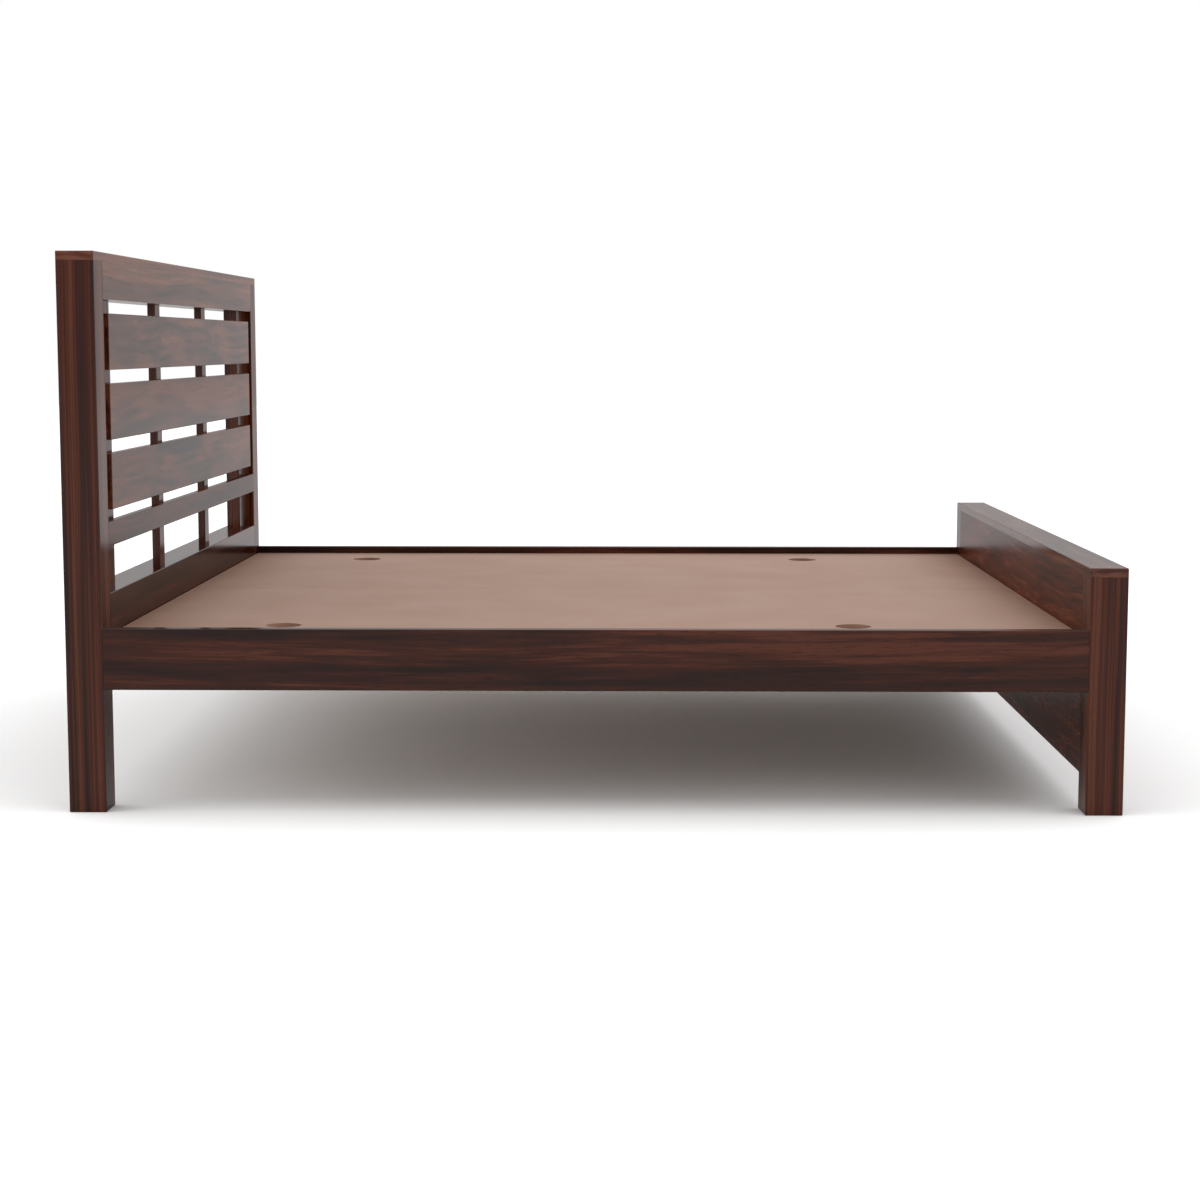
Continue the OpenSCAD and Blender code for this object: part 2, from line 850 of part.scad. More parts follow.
module cross_bearer(i) {
    color([0.66, 0.50, 0.35])
        difference() {
            translate([bearer_x[i] - bearer_width / 2, -bearer_half_length, bearer_z])
                stick_y([bearer_width, 2 * bearer_half_length, bearer_thickness]);
            at_bearer_screws(i) screw_hole(frame_screw_d, frame_screw_length);
        }
}

module frame_screws() {
    color([0.72, 0.70, 0.62]) {
        at_cleat_screws() screw(frame_screw_d, frame_screw_length);
        right_side() at_cleat_screws() screw(frame_screw_d, frame_screw_length);
        at_head_ledger_screws() screw(frame_screw_d, frame_screw_length);
        at_foot_ledger_screws() screw(frame_screw_d, frame_screw_length);
        for (i = [0:bearer_count - 1])
            at_bearer_screws(i) screw(frame_screw_d, frame_screw_length);
    }
}

// Steel angle in the left corner of an end that looks along +X
module corner_bracket() {
    t = bracket_steel;
    color([0.45, 0.46, 0.48])
        difference() {
            translate([0, -rail_inner_y, bracket_z])
                union() {
                    cube([t, bracket_post_leg, bracket_height]);
                    cube([bracket_leg, t, bracket_height]);
                }
            at_post_bolts(t + cut) cylinder(d = bolt_hole_d, h = t + 2 * cut);
            at_rail_bolts(t + cut) cylinder(d = bolt_hole_d, h = t + 2 * cut);
        }
}

module corner_bracket_head_left() at_head_end() corner_bracket();

module corner_bracket_head_right() right_side() at_head_end() corner_bracket();

module corner_bracket_foot_left() at_foot_end() corner_bracket();

module corner_bracket_foot_right() right_side() at_foot_end() corner_bracket();

// Hex bolt with the underside of its head at the origin, pointing along +Z
module bolt() {
    translate([0, 0, -bolt_head_height])
        cylinder(d = bolt_head_width / cos(30), h = bolt_head_height, $fn = 6);
    cylinder(d = bolt_d, h = bolt_length);
}

module bracket_bolts() {
    seat = bracket_steel + washer_thickness;
    color([0.70, 0.70, 0.68])
        at_corners() {
            at_post_bolts(seat) bolt();
            at_rail_bolts(seat) bolt();
        }
}

module washer() {
    difference() {
        cylinder(d = washer_d, h = washer_thickness);
        translate([0, 0, -cut]) cylinder(d = washer_hole_d, h = washer_thickness + 2 * cut);
    }
}

module bracket_washers() {
    seat = bracket_steel + washer_thickness;
    color([0.74, 0.74, 0.72])
        at_corners() {
            at_post_bolts(seat) washer();
            at_rail_bolts(seat) washer();
        }
}

module insert() {
    difference() {
        cylinder(d = insert_d, h = insert_length);
        translate([0, 0, -cut])
            cylinder(d = bolt_d + 2 * hole_clearance, h = insert_length + 2 * cut);
    }
}

module threaded_inserts() {
    color([0.78, 0.68, 0.42])
        at_corners() {
            at_post_bolts(0) insert();
            at_rail_bolts(0) insert();
        }
}

// Platform

module platform_board() {
    length = inner_length - 2 * board_gap;
    width = rail_inner_y - board_gap - seam_gap / 2;
    color([0.66, 0.55, 0.49])
        difference() {
            translate([-length / 2, -rail_inner_y + board_gap, board_z])
                cube([length, width, board_thickness]);
            for (x = [head_face_x + finger_hole_head, foot_face_x - finger_hole_foot])
                hole_z([x, -rail_inner_y + finger_hole_side, board_z - cut],
                    finger_hole_d, board_thickness + 2 * cut);
        }
}

module platform_board_left() platform_board();

module platform_board_right() right_side() platform_board();

head_post_left();
head_post_right();
head_cap();
head_top_rail();
head_slat_upper();
head_slat_middle();
head_slat_lower();
head_mid_rail();
head_batten(0);  // head_batten_1
head_batten(1);  // head_batten_2
head_batten(2);  // head_batten_3
head_batten(3);  // head_batten_4
head_bottom_rail();
head_apron();
slat_screws();
foot_post_left();
foot_post_right();
foot_cap();
foot_panel();
cap_dowels();
side_rail_left();
side_rail_right();
rail_dowels();
side_cleat_left();
side_cleat_right();
head_ledger();
foot_ledger();
centre_beam();
beam_hanger_head();
beam_hanger_foot();
hanger_screws();
cross_bearer(0);  // cross_bearer_1
cross_bearer(1);  // cross_bearer_2
cross_bearer(2);  // cross_bearer_3
cross_bearer(3);  // cross_bearer_4
cross_bearer(4);  // cross_bearer_5
cross_bearer(5);  // cross_bearer_6
frame_screws();
corner_bracket_head_left();
corner_bracket_head_right();
corner_bracket_foot_left();
corner_bracket_foot_right();
bracket_bolts();
bracket_washers();
threaded_inserts();
platform_board_left();
platform_board_right();
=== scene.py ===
import math
import bpy
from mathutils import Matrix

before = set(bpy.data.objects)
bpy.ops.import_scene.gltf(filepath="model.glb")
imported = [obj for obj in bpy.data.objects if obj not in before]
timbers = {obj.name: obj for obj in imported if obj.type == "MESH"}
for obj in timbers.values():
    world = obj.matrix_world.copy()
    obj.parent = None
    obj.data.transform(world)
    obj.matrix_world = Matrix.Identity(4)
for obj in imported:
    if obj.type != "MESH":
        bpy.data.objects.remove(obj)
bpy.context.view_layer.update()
print("frame loaded,", len(timbers), "pieces")


# small helpers for building node trees

def screenColour(red, green, blue):
    # a colour as an eye-dropper reads it, turned into the linear numbers that shaders take
    def linear(level):
        level = level / 255
        return level / 12.92 if level <= 0.04045 else ((level + 0.055) / 1.055) ** 2.4
    return (linear(red), linear(green), linear(blue), 1.0)


def feed(tree, node, plugs):
    # a value that comes from another node is linked, a plain one is set on the node itself
    for plug, value in plugs.items():
        if isinstance(value, bpy.types.NodeSocket):
            tree.links.new(value, node.inputs[plug])
        else:
            node.inputs[plug].default_value = value


def addNode(tree, kind, plugs=None, **settings):
    node = tree.nodes.new(kind)
    for setting, value in settings.items():
        setattr(node, setting, value)
    feed(tree, node, plugs or {})
    return node


def startMaterial(name):
    material = bpy.data.materials.new(name)
    material.use_nodes = True
    tree = material.node_tree
    return material, tree, tree.nodes["Principled BSDF"]


def pieceSpace(tree):
    return addNode(tree, "ShaderNodeTexCoord").outputs["Object"]


def stretched(tree, vector, perMetre, start=(0, 0, 0)):
    return addNode(tree, "ShaderNodeMapping",
                   {"Vector": vector, "Location": start, "Scale": perMetre}).outputs["Vector"]


def noise(tree, vector, scale=1.0, detail=1.0, roughness=0.5, distortion=0.0, output="Fac"):
    return addNode(tree, "ShaderNodeTexNoise",
                   {"Vector": vector, "Scale": scale, "Detail": detail,
                    "Roughness": roughness, "Distortion": distortion}).outputs[output]


def maths(tree, operation, first, second=0.0, third=0.0):
    return addNode(tree, "ShaderNodeMath", {0: first, 1: second, 2: third},
                   operation=operation).outputs[0]


def swing(tree, value, amount, onto, middle=0.5):
    # adds to a number how far another one lies from its middle
    return maths(tree, "MULTIPLY_ADD", maths(tree, "SUBTRACT", value, middle), amount, onto)


def vectorMaths(tree, operation, first, second=(0, 0, 0), output="Vector"):
    return addNode(tree, "ShaderNodeVectorMath", {0: first, 1: second},
                   operation=operation).outputs[output]


def oneAxis(tree, vector, axis):
    return addNode(tree, "ShaderNodeSeparateXYZ", {0: vector}).outputs[axis]


def remap(tree, value, fromLow, fromHigh, toLow=0.0, toHigh=1.0):
    return addNode(tree, "ShaderNodeMapRange",
                   {"Value": value, "From Min": fromLow, "From Max": fromHigh,
                    "To Min": toLow, "To Max": toHigh}).outputs["Result"]


def colourRamp(tree, value, stops):
    node = addNode(tree, "ShaderNodeValToRGB", {"Fac": value})
    band = node.color_ramp
    band.elements[0].position, band.elements[0].color = stops[0]
    band.elements[1].position, band.elements[1].color = stops[-1]
    for position, colour in stops[1:-1]:
        band.elements.new(position).color = colour
    return node.outputs["Color"]


def mixColour(tree, amount, first, second, blend="MIX"):
    return addNode(tree, "ShaderNodeMix", {0: amount, 6: first, 7: second},
                   data_type="RGBA", blend_type=blend).outputs[2]


def bump(tree, height, strength, distance):
    return addNode(tree, "ShaderNodeBump",
                   {"Height": height, "Strength": strength, "Distance": distance}).outputs["Normal"]


def faceDirection(tree):
    return addNode(tree, "ShaderNodeNewGeometry").outputs["True Normal"]


easedEdge = (0.99, 0.8)     # how squarely a flat face and an eased edge look along an axis


def edgeMask(tree):
    # every piece is squared up, so a face that looks between two axes is an eased edge; this mask
    # lightens those edges with wear and a painted highlight
    size = vectorMaths(tree, "ABSOLUTE", faceDirection(tree))
    squarest = maths(tree, "MAXIMUM", oneAxis(tree, size, "X"),
                     maths(tree, "MAXIMUM", oneAxis(tree, size, "Y"), oneAxis(tree, size, "Z")))
    return remap(tree, squarest, *easedEdge)


def dress(look, material):
    for name in look["pieces"]:
        timbers[name].data.materials.clear()
        timbers[name].data.materials.append(material)


# camera where the photograph was taken from

camera = {
    "place": (0.0860, -5.4529, 0.9472),
    "tilt": 83.543,             # degrees, 90 is level
    "turn": 0.945,              # degrees to the left
    "lens": 67.64,              # millimetres, on a square sensor
    "sensor": 36,
    "reach": 200,               # metres
}


def setUpCamera():
    data = bpy.data.cameras.new("photoCamera")
    data.lens = camera["lens"]
    data.sensor_width = camera["sensor"]
    data.clip_end = camera["reach"]
    holder = bpy.data.objects.new("photoCamera", data)
    holder.location = camera["place"]
    holder.rotation_euler = (math.radians(camera["tilt"]), 0, math.radians(camera["turn"]))
    bpy.context.scene.collection.objects.link(holder)
    bpy.context.scene.camera = holder


# studio: white surroundings with soft lights in them, a pale floor and a lamp straight overhead

studio = {
    "surroundLight": 0.58,      # what the surroundings shine on the bed from all sides
    "softLights": [             # where a soft light stands and how much it adds
        ((-1, 0, 0), 3.07),     # beyond the head
        ((1, 0, 0), 1.37),      # beyond the foot
        ((0.7071, 0, 0.7071), 0.42),
    ],
    "softness": 4,              # a higher power makes the soft lights narrower
    "lampLevel": 0.94,
    "lampWidth": 70,            # degrees, how wide the lamp looks from the bed
    "white": (1, 1, 1, 1),
    "floorSize": 60,            # metres
    "floorDrop": 0.0005,        # metres under the feet of the bed
    "floorColour": screenColour(255, 255, 255),
    "floorRoughness": 0.9,
    "floorBounce": 0.55,        # how much of its light the floor sends back to the bed
    "floorLift": 0.016,         # keeps the shadow from going black
}


def seenDirectly(tree):
    # white for what the camera sees, straight or in the lacquer, but not for soft light
    path = addNode(tree, "ShaderNodeLightPath").outputs
    seen = maths(tree, "MAXIMUM", path["Is Camera Ray"],
                 maths(tree, "MAXIMUM", path["Is Glossy Ray"], path["Is Transmission Ray"]))
    return maths(tree, "MULTIPLY", seen, maths(tree, "LESS_THAN", path["Diffuse Depth"], 1))


def setUpStudio():
    scene = bpy.context.scene
    scene.view_settings.view_transform = "Standard"
    world = bpy.data.worlds.new("whiteSurroundings")
    world.use_nodes = True
    scene.world = world
    tree = world.node_tree
    outward = addNode(tree, "ShaderNodeTexCoord").outputs["Generated"]
    glow = studio["surroundLight"]
    for side, level in studio["softLights"]:
        towards = vectorMaths(tree, "DOT_PRODUCT", outward, side, "Value")
        spread = maths(tree, "POWER", maths(tree, "MAXIMUM", towards, 0.0), studio["softness"])
        glow = maths(tree, "MULTIPLY_ADD", spread, level, glow)
    feed(tree, tree.nodes["Background"],
         {"Color": studio["white"], "Strength": remap(tree, seenDirectly(tree), 0, 1, glow, 1.0)})

    lamp = bpy.data.lights.new("softLamp", "SUN")
    lamp.energy = studio["lampLevel"]
    lamp.angle = math.radians(studio["lampWidth"])
    scene.collection.objects.link(bpy.data.objects.new("softLamp", lamp))

    half = studio["floorSize"] / 2
    mesh = bpy.data.meshes.new("studioFloor")
    mesh.from_pydata([(-half, -half, 0), (half, -half, 0), (half, half, 0), (-half, half, 0)],
                     [], [(0, 1, 2, 3)])
    floor = bpy.data.objects.new("studioFloor", mesh)
    floor.location.z = -studio["floorDrop"]
    scene.collection.objects.link(floor)
    material, tree, shader = startMaterial("paleFloor")
    seen = seenDirectly(tree)
    bounce = [studio["floorBounce"]] * 3 + [1]
    feed(tree, shader, {
        "Base Color": mixColour(tree, seen, bounce, studio["floorColour"]),
        "Roughness": studio["floorRoughness"],
        "Specular IOR Level": 0.0,
        "Emission Color": studio["white"],
        "Emission Strength": maths(tree, "MULTIPLY", seen, studio["floorLift"]),
    })
    mesh.materials.append(material)
    print("studio ready")


# dark rosewood: streaks along the grain, growth rings, fine fibre and open pores

# what all rosewood pieces share, a look may say otherwise
rosewoodFinish = {
    "toneStops": (0.1, 0.45, 0.7, 0.95),    # where dark, brown, warm and light lie
    "ringSharpness": 3,
    "ringMiddle": 0.2,
    "ringEdges": (0.38, 0.62),              # from where to where the rings fade in
    "patchMiddle": 0.52,
    "patchEdge": 0.1,                       # softness of the light patches
    "poreEdges": (0.62, 0.7),
    "pores": 0.55,                          # how dark the pores are filled
    "poreColour": screenColour(20, 8, 5),
    "poreDip": -0.6,
    "endLineEdges": (0.42, 0.6),
    "endFacing": (0.8, 0.95),               # how squarely a sawn end looks along the grain
    # the eased edges lighten towards this colour: wear and a painted highlight
    "wornAndHighlightColour": screenColour(112, 74, 56),
    "wearAndHighlight": 0.15,
    "fibreBump": 0.3,
    "fibreDepth": 0.00025,                  # metres
    "roughness": 0.5,
    "roughnessSpread": 0.2,
    "lacquer": 0.48,                        # strength of the clear coat
    "lacquerIndex": 1.45,
    "lacquerRoughness": 0.15,
}


def rosewood(look):
    look = {**rosewoodFinish, **look}
    material, tree, shader = startMaterial(look["name"])
    place = pieceSpace(tree)
    axes, along, length = "XYZ", look["grain"], look["length"]

    def figure(vector, across, lengthwise, start=look["start"], **shape):
        # noise drawn out along the grain and packed across it as the streaks of the piece are
        scale = [lengthwise if axis == along else across * streaks
                 for axis, streaks in zip(axes, look["streaks"])]
        return noise(tree, stretched(tree, vector, scale, start), **shape)

    # the grain wanders a little from side to side
    drift = figure(place, across=0.1, lengthwise=1.3, output="Color")
    sideways = vectorMaths(tree, "SUBTRACT", drift, (0.5, 0.5, 0.5))
    sideways = vectorMaths(tree, "MULTIPLY", sideways, [look["wander"]] * 3)
    bent = vectorMaths(tree, "ADD", place, sideways)

    # growth rings lie around the heart of the tree and swell and shrink along it
    outward = vectorMaths(tree, "SUBTRACT", bent, look["heart"])
    outward = vectorMaths(tree, "MULTIPLY", outward, [0 if axis == along else 1 for axis in axes])
    radius = vectorMaths(tree, "LENGTH", outward, output="Value")
    swell = figure(place, across=0.22, lengthwise=length, detail=2)
    rings = maths(tree, "MULTIPLY_ADD", radius, look["rings"],
                  maths(tree, "MULTIPLY", swell, look["swell"]))
    rings = maths(tree, "POWER", maths(tree, "PINGPONG", rings, 1), look["ringSharpness"])
    strong = figure(bent, across=0.4, lengthwise=length * 2, detail=2)
    rings = maths(tree, "MULTIPLY", rings, remap(tree, strong, *look["ringEdges"]))

    streaks = figure(bent, across=1, lengthwise=length, detail=3, roughness=0.6)
    fibre = figure(bent, across=5, lengthwise=length * 3, start=(0, 0, 0), detail=4, roughness=0.65)
    pores = figure(place, across=28, lengthwise=26, start=(0, 0, 0))
    pores = remap(tree, pores, *look["poreEdges"])

    # streaks, rings and fibre add up to one tone, which picks the colour
    tone = swing(tree, streaks, look["contrast"], 0.5)
    tone = swing(tree, rings, -look["ringDepth"], tone, look["ringMiddle"])
    tone = swing(tree, fibre, look["fine"], tone)
    if "bands" in look:
        low, high = look["bands"][0][0], look["bands"][-1][0]
        levels = [((level - low) / (high - low), (shade, shade, shade, 1))
                  for level, shade in look["bands"]]
        band = colourRamp(tree, remap(tree, oneAxis(tree, bent, "Z"), low, high), levels)
        tone = swing(tree, band, 1, tone)
    if "paler" in look:
        tone = maths(tree, "MULTIPLY_ADD", oneAxis(tree, place, along), look["paler"], tone)
    tones = [look[name] for name in ("dark", "brown", "warm", "light")]
    colour = colourRamp(tree, tone, list(zip(look["toneStops"], tones)))

    patches = figure(bent, across=look["patchWidth"], lengthwise=length * 2.2, detail=3)
    middle, soft = look["patchMiddle"], look["patchEdge"]
    patches = remap(tree, patches, middle - soft, middle + soft, 0.0, look["patches"])
    colour = mixColour(tree, patches, colour, look["light"])
    filled = maths(tree, "MULTIPLY", pores, look["pores"])
    colour = mixColour(tree, filled, colour, look["poreColour"])
    if "endGrain" in look:
        ends = maths(tree, "ABSOLUTE", oneAxis(tree, faceDirection(tree), along))
        lines = figure(place, across=1.3, lengthwise=3, start=(0, 0, 0), detail=3)
        lines = remap(tree, lines, *look["endLineEdges"])
        endColour = mixColour(tree, lines, look["brown"], look["endGrain"])
        colour = mixColour(tree, remap(tree, ends, *look["endFacing"]), colour, endColour)
    # eased edges lighten: wear, and a painted highlight along the edge
    wornAndLit = maths(tree, "MULTIPLY", edgeMask(tree), look["wearAndHighlight"])

    height = maths(tree, "MULTIPLY_ADD", pores, look["poreDip"], fibre)
    feed(tree, shader, {
        "Base Color": mixColour(tree, wornAndLit, colour, look["wornAndHighlightColour"]),
        "Specular IOR Level": 0.0,
        "Roughness": maths(tree, "MULTIPLY_ADD", fibre, look["roughnessSpread"], look["roughness"]),
        "Normal": bump(tree, height, look["fibreBump"], look["fibreDepth"]),
        "Coat Weight": look["lacquer"],
        "Coat IOR": look["lacquerIndex"],
        "Coat Roughness": look["lacquerRoughness"],
    })
    dress(look, material)
    print(look["name"], "on", len(look["pieces"]), "pieces")


posts = {
    "name": "postRosewood",
    "pieces": ["head_post_left", "head_post_right", "foot_post_left", "foot_post_right"],
    "grain": "Z",
    "streaks": (58, 50, 0),     # streaks per metre across each axis
    "length": 0.3,              # streaks per metre along the grain
    "start": (4.0, 8.5, 3.9),   # where in the tree the piece is cut from
    "heart": (0.1, 0.4, 0),     # where the heart of the tree would be
    "wander": 0.012,            # how far the grain bends, in metres
    "contrast": 4.4,            # of the streaks
    "fine": 1.2,                # of the fibre
    "rings": 90,                # growth rings per metre
    "swell": 4,                 # how many rings they shift by
    "ringDepth": 0.35,
    "patches": 0.1,             # how strong the light patches are
    "patchWidth": 0.5,          # how often they come, against the streaks
    "dark": screenColour(32, 11, 6),
    "brown": screenColour(61, 24, 12),
    "warm": screenColour(77, 34, 17),
    "light": screenColour(91, 47, 30),
    "lacquer": 0.42,
}

footCap = {
    "name": "footCapRosewood",
    "pieces": ["foot_cap"],
    "grain": "Y",
    "streaks": (16, 0, 90),
    "length": 1.4,
    "start": (6.3, 4.0, 6.0),
    "heart": (0.3, 0, 0.6),
    "wander": 0.015,
    "contrast": 4.0,
    "fine": 1.0,
    "rings": 70,
    "swell": 4,
    "ringDepth": 0.3,
    "patches": 0.3,
    "patchWidth": 0.5,
    "dark": screenColour(36, 15, 8),
    "brown": screenColour(66, 32, 19),
    "warm": screenColour(77, 41, 27),
    "light": screenColour(94, 53, 38),
    "endGrain": screenColour(101, 60, 44),
    "lacquer": 0.44,
}

headCap = {
    **footCap,
    "name": "headCapRosewood",
    "pieces": ["head_cap"],
    "start": (2.6, 4.8, 1.3),
    "dark": screenColour(72, 34, 20),
    "brown": screenColour(86, 41, 26),
    "warm": screenColour(98, 50, 33),
    "light": screenColour(110, 60, 42),
    "endGrain": screenColour(110, 66, 49),
    "lacquer": 0.475,
}

topRail = {
    "name": "topRailRosewood",
    "pieces": ["head_top_rail"],
    "grain": "Y",
    "streaks": (30, 0, 22),
    "length": 0.8,
    "start": (1.9, 2.4, 0.3),
    "heart": (-0.9, 0, 1.3),
    "wander": 0.05,
    "contrast": 2.2,
    "fine": 1.2,
    "rings": 90,
    "swell": 8,
    "ringDepth": 0.45,
    "patches": 0.5,
    "patchWidth": 0.8,
    "dark": screenColour(36, 12, 7),
    "brown": screenColour(70, 33, 19),
    "warm": screenColour(92, 48, 31),
    "light": screenColour(114, 66, 45),
}

upperSlat = {
    "name": "upperSlatRosewood",
    "pieces": ["head_slat_upper"],
    "grain": "Y",
    "streaks": (50, 0, 13),
    "length": 0.8,
    "start": (7.1, 8.3, 2.4),
    "heart": (-0.9, 0, 1.15),
    "wander": 0.06,
    "contrast": 1.8,
    "fine": 1.3,
    "rings": 90,
    "swell": 9,
    "ringDepth": 0.4,
    "patches": 0.45,
    "patchWidth": 1.0,
    "patchEdge": 0.03,
    "pores": 0.25,
    "dark": screenColour(26, 8, 5),
    "brown": screenColour(58, 24, 13),
    "warm": screenColour(84, 42, 27),
    "light": screenColour(112, 62, 43),
}

middleSlat = {
    **upperSlat,
    "name": "middleSlatRosewood",
    "pieces": ["head_slat_middle"],
    "start": (6.5, 1.7, 9.8),
    "heart": (-1.2, 0, 0.6),
    "dark": screenColour(30, 10, 6),
    "brown": screenColour(64, 28, 17),
    "warm": screenColour(87, 45, 30),
    "light": screenColour(104, 59, 41),
    "lacquer": 0.43,
}

lowerSlat = {
    **upperSlat,
    "name": "lowerSlatRosewood",
    "pieces": ["head_slat_lower"],
    "start": (2.5, 9.5, 0.8),
    "heart": (-1.1, 0, 0.3),
    "dark": screenColour(27, 9, 5),
    "brown": screenColour(57, 24, 14),
    "warm": screenColour(80, 40, 26),
    "light": screenColour(104, 57, 39),
    "lacquer": 0.385,
    "patches": 0.35,
}

midRail = {
    **upperSlat,
    "name": "midRailRosewood",
    "pieces": ["head_mid_rail"],
    "streaks": (50, 0, 34),
    "length": 1.2,
    "wander": 0.03,
    "start": (0.6, 4.1, 7.7),
    "heart": (-1.0, 0, 0.9),
    "dark": screenColour(30, 10, 6),
    "brown": screenColour(44, 18, 10),
    "warm": screenColour(60, 26, 15),
    "light": screenColour(80, 38, 24),
    "lacquer": 0.35,
}

battens = {
    "name": "battenRosewood",
    "pieces": ["head_batten_1", "head_batten_2", "head_batten_3", "head_batten_4"],
    "grain": "Z",
    "streaks": (60, 60, 0),
    "length": 0.5,
    "start": (2.4, 6.6, 0.3),
    "heart": (-0.8, 0.2, 0),
    "wander": 0.01,
    "contrast": 3.0,
    "fine": 0.8,
    "rings": 90,
    "swell": 4,
    "ringDepth": 0.3,
    "patches": 0.2,
    "patchWidth": 0.5,
    "dark": screenColour(34, 10, 5),
    "brown": screenColour(58, 23, 11),
    "warm": screenColour(74, 33, 18),
    "light": screenColour(90, 44, 27),
    "lacquer": 0.43,
}

bottomRail = {
    "name": "bottomRailRosewood",
    "pieces": ["head_bottom_rail", "head_apron"],
    "grain": "Y",
    "streaks": (34, 0, 26),
    "length": 1.0,
    "start": (9.1, 3.7, 2.8),
    "heart": (-0.9, 0, 0.2),
    "wander": 0.03,
    "contrast": 2.8,
    "fine": 0.9,
    "rings": 70,
    "swell": 6,
    "ringDepth": 0.35,
    "patches": 0.3,
    "patchWidth": 0.8,
    "dark": screenColour(28, 9, 5),
    "brown": screenColour(42, 16, 9),
    "warm": screenColour(55, 24, 15),
    "light": screenColour(72, 35, 22),
}

footPanel = {
    "name": "footPanelRosewood",
    "pieces": ["foot_panel"],
    "grain": "Y",
    "streaks": (44, 0, 20),
    "length": 1.0,
    "start": (6.2, 3.8, 5.8),
    "heart": (1.2, 0, 0.1),
    "wander": 0.06,
    "contrast": 2.4,
    "fine": 2.2,
    "rings": 90,
    "swell": 12,
    "ringDepth": 0.4,
    "patches": 0.15,
    "patchWidth": 0.9,
    "dark": screenColour(33, 11, 6),
    "brown": screenColour(64, 25, 13),
    "warm": screenColour(78, 33, 18),
    "light": screenColour(93, 45, 27),
    "lacquer": 0.41,
    "lacquerRoughness": 0.27,
    "paler": -0.1,
}

sideRails = {
    "name": "sideRailRosewood",
    "pieces": ["side_rail_left", "side_rail_right"],
    "grain": "X",
    "streaks": (0, 18, 20),
    "length": 1.1,
    "start": (6.4, 4.8, 7.3),
    "heart": (0, 0.7, 0.1),
    "wander": 0.04,
    "contrast": 2.6,
    "fine": 2.0,
    "rings": 110,
    "swell": 6,
    "ringDepth": 0.35,
    "patches": 0.2,
    "patchWidth": 0.6,
    "dark": screenColour(27, 13, 10),
    "brown": screenColour(46, 20, 14),
    "warm": screenColour(63, 27, 17),
    "light": screenColour(86, 44, 30),
    "paler": 0.16,              # tone gained per metre along the grain
    "bands": [                  # height in metres and the tone there
        (0.252, 0.22), (0.300, 0.26), (0.332, 0.55), (0.345, 0.75), (0.357, 0.55), (0.377, 0.55),
    ],
    "lacquer": 0.37,
}


# loose platform boards: sanded fibreboard with a faint mottle

platform = {
    "name": "sandedBoard",
    "pieces": ["platform_board_left", "platform_board_right"],
    "pale": screenColour(165, 139, 126),
    "deep": screenColour(156, 129, 115),
    "toneStops": (0.2, 0.8),            # where deep and pale lie
    "dust": 0.6,
    "sanding": 0.35,
    "fleck": screenColour(128, 100, 86),
    "fleckEdges": (0.68, 0.76),
    "fleckStrength": 0.4,
    "core": screenColour(143, 106, 89),
    "edge": screenColour(165, 129, 111),
    "layerStops": (0.3, 0.7),           # where core and edge lie
    "edgeFacing": (0.9, 0.3),           # from a flat face to a sawn one
    # painted shade at the head and foot ends of the boards
    "paintedEndShade": (0.72, 0.62, 0.56, 1),
    "endReach": 0.20,                   # metres, like the lengths below
    "halfLength": 0.992,
    # painted shade along the side rails
    "paintedSideShade": (0.63, 0.56, 0.51, 1),
    "sideReach": 0.1,
    "halfWidth": 0.922,
    "shadeFade": 1.5,
    "roughness": 0.73,
    "roughnessSpread": 0.1,
    "gloss": 0.08,
    "mottleBump": 0.2,
    "mottleDepth": 0.0003,
}


def boardMaterial(look):
    material, tree, shader = startMaterial(look["name"])
    place = pieceSpace(tree)
    cloud = noise(tree, place, 5, detail=2)
    dust = noise(tree, place, 420, detail=3, roughness=0.7)
    sanding = noise(tree, stretched(tree, place, (30, 300, 300)), detail=3, roughness=0.6)
    tone = swing(tree, dust, look["dust"], cloud)
    tone = swing(tree, sanding, look["sanding"], tone)
    colour = colourRamp(tree, tone, list(zip(look["toneStops"], (look["deep"], look["pale"]))))
    flecks = noise(tree, stretched(tree, place, (160, 520, 520)))
    flecks = remap(tree, flecks, *look["fleckEdges"], 0.0, look["fleckStrength"])
    colour = mixColour(tree, flecks, colour, look["fleck"])

    # painted shade: the boards darken towards headboard, foot panel and side rails, where shade
    # falls on them
    for axis, half, reach, shade in (("X", "halfLength", "endReach", "paintedEndShade"),
                                     ("Y", "halfWidth", "sideReach", "paintedSideShade")):
        outward = maths(tree, "ABSOLUTE", oneAxis(tree, place, axis))
        amount = remap(tree, outward, look[half] - look[reach], look[half])
        amount = maths(tree, "POWER", amount, look["shadeFade"])
        colour = mixColour(tree, amount, colour, look[shade], "MULTIPLY")

    # the sawn edges and the finger holes show the darker core in thin layers
    flatness = maths(tree, "ABSOLUTE", oneAxis(tree, faceDirection(tree), "Z"))
    layers = noise(tree, stretched(tree, place, (9, 9, 420)), detail=2)
    core = colourRamp(tree, layers, list(zip(look["layerStops"], (look["core"], look["edge"]))))
    colour = mixColour(tree, remap(tree, flatness, *look["edgeFacing"]), colour, core)

    mottle = maths(tree, "ADD", dust, sanding)
    feed(tree, shader, {
        "Base Color": colour,
        "Specular IOR Level": look["gloss"],
        "Roughness": maths(tree, "MULTIPLY_ADD", dust, look["roughnessSpread"], look["roughness"]),
        "Normal": bump(tree, mottle, look["mottleBump"], look["mottleDepth"]),
    })
    dress(look, material)
    print(look["name"], "on", len(look["pieces"]), "pieces")


# plain timber of the supports, never seen from above

supports = {
    "name": "sawnPine",
    "pieces": ["side_cleat_left", "side_cleat_right", "centre_beam"],
    "grain": "X",
    "early": screenColour(206, 172, 128),
    "late": screenColour(168, 122, 78),
    "knot": screenColour(104, 66, 40),
}

